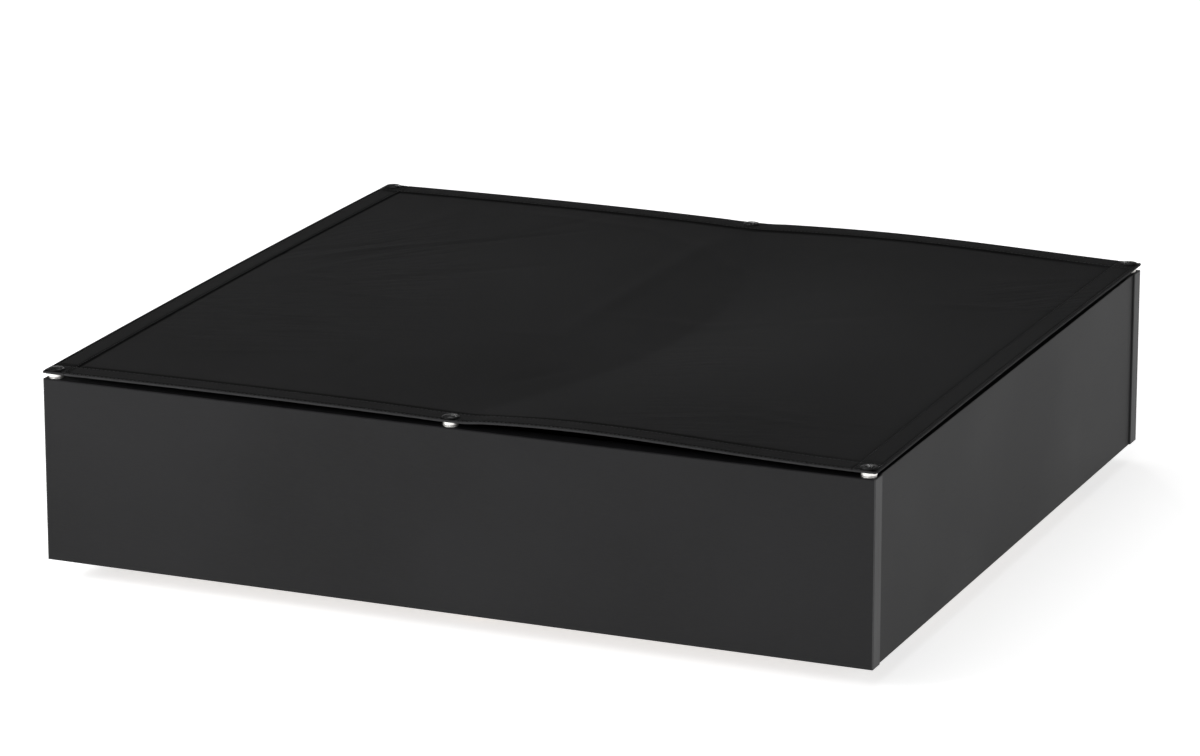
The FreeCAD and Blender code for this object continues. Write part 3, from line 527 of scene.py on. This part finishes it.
# Regions of creases: (count, x, y, direction in degrees, length, width in mm, height in mm).
CREASE_REGIONS = (
    (22, (-0.32, -0.17), (-0.23, 0.05), (-12, 24), (0.04, 0.11), (2.2, 4.2), (-0.8, 0.9)),
    (10, (-0.31, -0.14), (0.02, 0.24), (40, 65), (0.07, 0.15), (3, 6), (-0.8, 0.9)),
    (9, (0.15, 0.27), (-0.275, -0.20), (-10, 35), (0.03, 0.08), (2.2, 4.5), (-0.7, 0.8)),
    (7, (0.07, 0.16), (-0.19, -0.05), (-25, 20), (0.03, 0.08), (2.5, 5), (-0.6, 0.7)),
    (5, (0.28, 0.33), (0.10, 0.24), (20, 70), (0.04, 0.10), (3, 6), (-0.8, 0.8)),
    (26, (-0.3, 0.33), (-0.29, 0.29), (0, 180), (0.05, 0.15), (5, 11), (-0.6, 0.6)),
)


def scatter_creases():
    """Creases as (x, y, direction, length, width, height), spread at random over their regions."""
    creases = []
    for count, x_span, y_span, turns, lengths, widths, heights in CREASE_REGIONS:
        for _ in range(count):
            creases.append((random.uniform(*x_span), random.uniform(*y_span),
                            math.radians(random.uniform(*turns)), random.uniform(*lengths),
                            random.uniform(*widths) * MM, random.uniform(*heights) * MM))
    return creases


random.seed(7)
CREASES = scatter_creases()


def crease_height(x, y):
    """Height of all the creases together at a point."""
    total = 0.0
    for centre_x, centre_y, turn, length, width, height in CREASES:
        dx, dy = x - centre_x, y - centre_y
        along = dx * math.cos(turn) + dy * math.sin(turn)
        if abs(along) > length:
            continue
        across = -dx * math.sin(turn) + dy * math.cos(turn)
        if abs(across) > 3 * width:
            continue
        total += height * math.exp(-(across / width) ** 2) * (1 - (along / length) ** 2) ** 2
    return total


def bow(x, y):
    """How far the cloth stands above its rest plane.  It arches between the press studs, and a
    shallow valley beside the line of the two middle studs parts it into two pillows."""
    share = (y + STUD_Y) / (2 * STUD_Y)
    inside = math.sin(math.pi * min(1.0, max(0.0, share)))
    valley = VALLEY_SHIFT * inside
    if x < valley:
        t = min(1.0, (valley - x) / (STUD_X + valley))
        edge = mix(*LEFT_RISES, share) * hump(t, LEFT_PEAK)
        power, spread = PILLOW_POWERS[0], VALLEY_SPREADS[0]
    else:
        t = min(1.0, (x - valley) / (STUD_X - valley))
        edge = mix(*RIGHT_RISES, share) * hump(t, mix(*RIGHT_PEAKS, share)) ** RIGHT_POWER
        power, spread = PILLOW_POWERS[1], VALLEY_SPREADS[1]
    crown = PILLOW_RISE * inside * math.sin(math.pi * t) ** power
    crown += SIDE_RISE * inside * smooth(abs(x), SIDE_START, STUD_X)
    trough = VALLEY_DEPTH * inside ** VALLEY_POWER * math.exp(-((x - valley) / spread) ** 2)
    ridge = (RIDGE_RISE * math.exp(-((x - RIDGE_X) / RIDGE_SPREAD) ** 2)
             * smooth(y, *RIDGE_STARTS) * (1 - smooth(y, *RIDGE_ENDS)))
    return (edge + crown + ridge - trough) * stud_flatness(x, y)


def seam_dip(position, half):
    """Depth of the seams that run along an edge, at a distance from the middle."""
    depth = 0.0
    for seam, most in zip(SEAMS, SEAM_DEPTHS):
        depth += most * math.exp(-((half - abs(position) - seam) / SEAM_SPREAD) ** 2)
    return depth


def hem_share(x, y):
    """1 on the doubled hem and 0 on the single cloth inside it."""
    inset = min(COVER_X - abs(x), COVER_Y - abs(y))
    return 1 - smooth(inset, SEAMS[1] + HEM_STEP_SPAN[0], SEAMS[1] + HEM_STEP_SPAN[1])


def cloth_point(x, y, rim_x, rim_y, upper):
    """A point on the cloth.  rim_x and rim_y are heights round the rounded rim, from 0 at the
    middle of the edge to 1 on the flat."""
    flat = min(rim_x, rim_y)
    hem = hem_share(x, y)
    inset = min(COVER_X - abs(x), COVER_Y - abs(y))
    pucker = PUCKER_DEPTH * math.exp(-((inset - SEAMS[1]) / PUCKER_SPREAD) ** 2) * (1 - hem)
    middle = CLOTH_TOP - HEM_RADIUS + bow(x, y) + crease_height(x, y) * (1 - hem) - pucker
    dip = max(seam_dip(x, COVER_X), seam_dip(y, COVER_Y))
    if upper:
        puff = HEM_PUFF * math.sin(math.pi * smooth(inset, SEAMS[0], SEAMS[1])) * hem
        return middle + HEM_RADIUS * flat - dip + puff - HEM_STEP * (1 - hem)
    thin = HEM_THICK - HEM_STEP - SINGLE_THICK
    return middle - HEM_RADIUS * flat + thin * (1 - hem) + dip * UNDER_SEAM_SHARE


def round_corner(x, y):
    """Moves a grid point near a corner of the rectangle onto the rounded corner."""
    past_x, past_y = abs(x) - (COVER_X - CORNER), abs(y) - (COVER_Y - CORNER)
    if past_x <= 0 or past_y <= 0:
        return x, y
    square_x, square_y = past_x / CORNER, past_y / CORNER
    round_x = square_x * math.sqrt(1 - square_y * square_y / 2)
    round_y = square_y * math.sqrt(1 - square_x * square_x / 2)
    return (math.copysign(COVER_X - CORNER + round_x * CORNER, x),
            math.copysign(COVER_Y - CORNER + round_y * CORNER, y))


RIM_ANGLES = (0, 20, 42, 66, 90)     # mesh lines round the rim, in degrees
# Mesh lines in mm from the edge, close together at the two seams and at the hem's step.
EDGE_LINES = (1.5, 2.1, 2.5, 2.8, 3.2, 3.6, 3.9, 4.4, 5.2, 7.0, 9.5, 12.5, 15.5, 17.6, 18.6,
              19.1, 19.5, 19.8, 20.1, 20.5, 21.0, 21.7, 22.6, 24.0, 26.5, 30.0, 35.0)
# Mesh lines across the fold, in mm from it.
FOLD_LINES = (-9, -7.4, -6, -4.8, -3.6, -2.6, -1.7, -0.9, -0.15, 0.6, 1.4, 2.3, 3.3, 4.5, 5.8,
              7.2, 9)
GRID_STEP = 5.2 * MM                 # between the other mesh lines
LINE_GAP = 0.2 * MM                  # a fold line this close to another line is left out


def grid_lines(half, extra=()):
    """Positions across the cloth, close together at rim and seams: (position, rim height)."""
    lines = []
    for angle in RIM_ANGLES:
        turn = math.radians(angle)
        lines.append((half - HEM_RADIUS * (1 - math.cos(turn)), math.sin(turn)))
    lines += [(half - offset * MM, 1.0) for offset in EDGE_LINES]
    inner = half - EDGE_LINES[-1] * MM
    count = int(2 * inner / GRID_STEP)
    middle = [(-inner + 2 * inner * k / count, 1.0) for k in range(1, count)]
    both = [(-p, r) for p, r in lines] + middle + list(reversed(lines))
    for position in extra:
        if min(abs(position - p) for p, _ in both) > LINE_GAP:
            both.append((position, 1.0))
    return sorted(both)


x_lines = grid_lines(COVER_X)
y_lines = grid_lines(COVER_Y, [FOLD_Y + offset * MM for offset in FOLD_LINES])


def make_cloth():
    """The cover as one closed sheet: top face, rounded rim, and underside with its hem."""
    cloth = bmesh.new()
    sides = []
    rim_shared = {}
    for upper in (True, False):
        points = []
        for j, (y, rim_y) in enumerate(y_lines):
            row = []
            for i, (x, rim_x) in enumerate(x_lines):
                border = i in (0, len(x_lines) - 1) or j in (0, len(y_lines) - 1)
                if border and (i, j) in rim_shared:
                    row.append(rim_shared[i, j])
                    continue
                px, py = round_corner(x, y)
                vertex = cloth.verts.new((px, py, cloth_point(x, y, rim_x, rim_y, upper)))
                if border:
                    rim_shared[i, j] = vertex
                row.append(vertex)
            points.append(row)
        sides.append(points)
    uv = cloth.loops.layers.uv.new("UVMap")
    for side, points in enumerate(sides):
        for j in range(len(y_lines) - 1):
            for i in range(len(x_lines) - 1):
                loop = [points[j][i], points[j][i + 1], points[j + 1][i + 1], points[j + 1][i]]
                if side:
                    loop.reverse()
                face = cloth.faces.new(loop)
                face.smooth = True
                for corner in face.loops:
                    corner[uv].uv = corner.vert.co.xy
    mesh = bpy.data.meshes.new("cover_cloth")
    cloth.to_mesh(mesh)
    cloth.free()
    return mesh


def add_piece(name, mesh, material):
    """Puts a mesh into the scene under a piece's name."""
    piece = bpy.data.objects.new(name, mesh)
    bpy.context.scene.collection.objects.link(piece)
    mesh.materials.append(material)
    return piece


cover = add_piece("cover_cloth", make_cloth(), finishes["cover_cloth"])
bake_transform(cover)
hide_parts("cover_front_part", "cover_back_part")

# --------------------------------------------------------------------------------------- stitches
STITCH_PITCH = 3.6 * MM
STITCH_LENGTH = 2.9 * MM
STITCH_RADIUS = 0.17 * MM
STITCH_RING = 5
STITCH_END = 2.4 * MM                # from the cover's edges to the ends of each run
STITCH_LIFT = 0.06 * MM              # the thread lies this far outside the cloth
# Rings of thread along a stitch: (share of its length, size, lift), the last two in thread radii.
STITCH_RINGS = ((0.0, 0.45, -0.5), (0.16, 0.95, 0.35), (0.5, 1.0, 0.7), (0.84, 0.95, 0.35),
                (1.0, 0.45, -0.5))


def add_stitch(bm, start, end):
    """One stitch: a short thread that bows up a little between its two holes."""
    direction = (end - start).normalized()
    side = Vector((0, 0, 1)).cross(direction)
    up = direction.cross(side)
    rings = []
    for share, size, lift in STITCH_RINGS:
        centre = start.lerp(end, share) + up * (lift * STITCH_RADIUS)
        ring = []
        for k in range(STITCH_RING):
            turn = 2 * math.pi * k / STITCH_RING
            ring.append(bm.verts.new(centre + (side * math.cos(turn) + up * math.sin(turn))
                                     * STITCH_RADIUS * size))
        rings.append(ring)
    for a, b in zip(rings, rings[1:]):
        for k in range(STITCH_RING):
            n = (k + 1) % STITCH_RING
            bm.faces.new((a[k], a[n], b[n], b[k])).smooth = True
    bm.faces.new(list(reversed(rings[0])))
    bm.faces.new(rings[-1])


def seam_height(x, y, upper):
    """Height of the thread on the cloth's top face or its underside."""
    z = cloth_point(x, y, 1.0, 1.0, upper)
    return z + (STITCH_LIFT if upper else -STITCH_LIFT)


def make_stitches():
    """Both seams along all four edges, on both faces, broken where a cap lies over them."""
    bm = bmesh.new()
    runs = []
    for seam in SEAMS:
        x, y = COVER_X - seam, COVER_Y - seam
        limit_x, limit_y = COVER_X - STITCH_END, COVER_Y - STITCH_END
        runs += [((-limit_x, way * y), (limit_x, way * y)) for way in (-1, 1)]
        runs += [((way * x, -limit_y), (way * x, limit_y)) for way in (-1, 1)]
    for upper in (True, False):
        for (x0, y0), (x1, y1) in runs:
            length = math.hypot(x1 - x0, y1 - y0)
            count = int(length / STITCH_PITCH)
            for k in range(count):
                near = k / count
                far = near + STITCH_LENGTH / length
                a = (mix(x0, x1, near), mix(y0, y1, near))
                b = (mix(x0, x1, far), mix(y0, y1, far))
                under_cap = any(math.hypot(p[0] - sx, abs(p[1]) - STUD_Y) < CAP_RADIUS
                                for p in (a, b) for sx in (-STUD_X, 0.0, STUD_X))
                if under_cap:
                    continue
                start = Vector((*a, seam_height(*a, upper)))
                end = Vector((*b, seam_height(*b, upper)))
                if upper:
                    add_stitch(bm, start, end)
                else:
                    add_stitch(bm, end, start)
    mesh = bpy.data.meshes.new("cover_stitches")
    bm.to_mesh(mesh)
    bm.free()
    return mesh


stitches = add_piece("cover_stitches", make_stitches(), thread)
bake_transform(stitches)

# ------------------------------------------------------------------------------------ stud caps
CAP_SEGMENTS = 56
CAP_PROFILE = (                      # (radius, height) in mm, from the rim's underside inwards
    (0.0, 0.05), (5.6, 0.05), (6.3, 0.02), (6.78, 0.08), (6.96, 0.26), (7.0, 0.48), (6.95, 0.72),
    (6.8, 0.93), (6.55, 1.10), (6.2, 1.23), (5.8, 1.32), (5.3, 1.41), (4.7, 1.51), (4.0, 1.62),
    (3.2, 1.73), (2.4, 1.81), (1.6, 1.86), (0.8, 1.89), (0.0, 1.90),
)


def make_caps(end):
    """The three caps along the front or back edge, turned from one profile."""
    low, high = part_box(f"{end}_snap_caps")
    base = high.z - CAP_PROFILE[-1][1] * MM
    centre_y = (low.y + high.y) / 2
    bm = bmesh.new()
    for centre_x in (-STUD_X, 0.0, STUD_X):
        rings = []
        for radius, height in CAP_PROFILE:
            z = base + height * MM
            if radius == 0.0:
                rings.append([bm.verts.new((centre_x, centre_y, z))])
                continue
            ring = []
            for k in range(CAP_SEGMENTS):
                turn = 2 * math.pi * k / CAP_SEGMENTS
                ring.append(bm.verts.new((centre_x + radius * MM * math.cos(turn),
                                          centre_y + radius * MM * math.sin(turn), z)))
            rings.append(ring)
        for a, b in zip(rings, rings[1:]):
            for k in range(CAP_SEGMENTS):
                n = (k + 1) % CAP_SEGMENTS
                if len(a) == 1:
                    face = bm.faces.new((a[0], b[n], b[k]))
                elif len(b) == 1:
                    face = bm.faces.new((a[k], a[n], b[0]))
                else:
                    face = bm.faces.new((a[k], a[n], b[n], b[k]))
                face.smooth = True
    mesh = bpy.data.meshes.new(f"{end}_stud_caps")
    bm.to_mesh(mesh)
    bm.free()
    caps = add_piece(f"{end}_stud_caps", mesh, finishes["cap_black"])
    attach(caps, f"cover_{end}")
    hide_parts(f"{end}_snap_caps")


make_caps("front")
make_caps("back")

# ------------------------------------------------------------------------- floor, light and camera
FLOOR_GLOW = 0.70                    # lifts the floor to the background's white


def make_floor_material():
    """Matt pale floor with a faint glow."""
    g = Graph("floor_pale")
    clouds = g.noise(g.place(), 1.5, 3.0, 0.5)
    tone = g.blend(clouds, grey(0.78), grey(0.80))
    g.principled(Specular_IOR_Level=0.0, Emission_Strength=FLOOR_GLOW)
    g.shader.inputs["Emission Color"].default_value = grey(1.0)
    return g.finish(tone, 0.9)


FLOOR_HALF = 30.0
floor_mesh = bpy.data.meshes.new("floor")
floor_mesh.from_pydata([(-FLOOR_HALF, -FLOOR_HALF, 0), (FLOOR_HALF, -FLOOR_HALF, 0),
                        (FLOOR_HALF, FLOOR_HALF, 0), (-FLOOR_HALF, FLOOR_HALF, 0)],
                       [], [(0, 1, 2, 3)])
floor = add_piece("floor", floor_mesh, make_floor_material())

# Grey levels, and heights on a unit sphere where they end and begin.
HORIZON_LEVEL, HORIZON_TOP = 0.95, 0.07
DOME_LEVEL, DOME_START = 0.10, 0.16


def make_world():
    """Pale at the horizon, where it meets the floor, and a dim grey dome above."""
    world = bpy.data.worlds.new("studio")
    world.use_nodes = True
    tree = world.node_tree
    coords = tree.nodes.new("ShaderNodeTexCoord")
    split = tree.nodes.new("ShaderNodeSeparateXYZ")
    ramp = tree.nodes.new("ShaderNodeValToRGB")
    horizon, dome = ramp.color_ramp.elements
    horizon.position = HORIZON_TOP
    horizon.color = grey(HORIZON_LEVEL)
    dome.position = DOME_START
    dome.color = grey(DOME_LEVEL)
    tree.links.new(coords.outputs["Generated"], split.inputs["Vector"])
    tree.links.new(split.outputs["Z"], ramp.inputs["Fac"])
    backdrop = tree.nodes["Background"]
    tree.links.new(ramp.outputs["Color"], backdrop.inputs["Color"])
    backdrop.inputs["Strength"].default_value = 1.0
    return world


bpy.context.scene.world = make_world()
bpy.context.scene.view_settings.view_transform = "Standard"


def add_light(name, place, target, size, watts):
    """A rectangular soft box that faces a target."""
    lamp = bpy.data.lights.new(name, "AREA")
    lamp.shape = "RECTANGLE"
    lamp.size, lamp.size_y = size
    lamp.energy = watts
    light = bpy.data.objects.new(name, lamp)
    light.location = place
    light.rotation_mode = "QUATERNION"
    light.rotation_quaternion = (Vector(target) - Vector(place)).to_track_quat("-Z", "Y")
    bpy.context.scene.collection.objects.link(light)


add_light("key_front_left", (-1.4, -1.65, 0.95), (-0.1, -0.3, 0.1), (1.0, 0.8), 28)
add_light("side_right", (2.3, -1.5, 0.9), (0.3, -0.1, 0.1), (1.4, 1.0), 12)
add_light("rim_back", (-1.2, 2.2, 2.6), (0, 0.1, 0.1), (0.4, 0.3), 7)


def add_sun(name, energy, spread):
    """A distant light of an angular size in degrees."""
    lamp = bpy.data.lights.new(name, "SUN")
    lamp.energy = energy
    lamp.angle = math.radians(spread)
    sun = bpy.data.objects.new(name, lamp)
    bpy.context.scene.collection.objects.link(sun)
    return sun


sky = add_sun("sky_soft", 1.25, 75)
sky.rotation_euler = (math.radians(12), math.radians(-20), 0)
glint = add_sun("cap_glint", 0.05, 2.5)
glint.rotation_mode = "QUATERNION"
glint.rotation_quaternion = Vector((0.32, -0.90, -0.30)).to_track_quat("-Z", "Y")

YAW, PITCH = 0.3978, 0.2828          # radians, left of +Y and down
CAMERA_PLACE = (1.7229, -4.1220, 1.4188)
SENSOR_WIDTH, FOCAL_LENGTH = 36.0, 170.17    # mm
CLIP_END = 100.0
lens = bpy.data.cameras.new("camera")
lens.sensor_width = SENSOR_WIDTH
lens.lens = FOCAL_LENGTH
lens.clip_end = CLIP_END
camera = bpy.data.objects.new("camera", lens)
camera.location = CAMERA_PLACE
aim = Vector((-math.sin(YAW) * math.cos(PITCH), math.cos(YAW) * math.cos(PITCH), -math.sin(PITCH)))
camera.rotation_mode = "QUATERNION"
camera.rotation_quaternion = aim.to_track_quat("-Z", "Y")
bpy.context.scene.collection.objects.link(camera)
bpy.context.scene.camera = camera
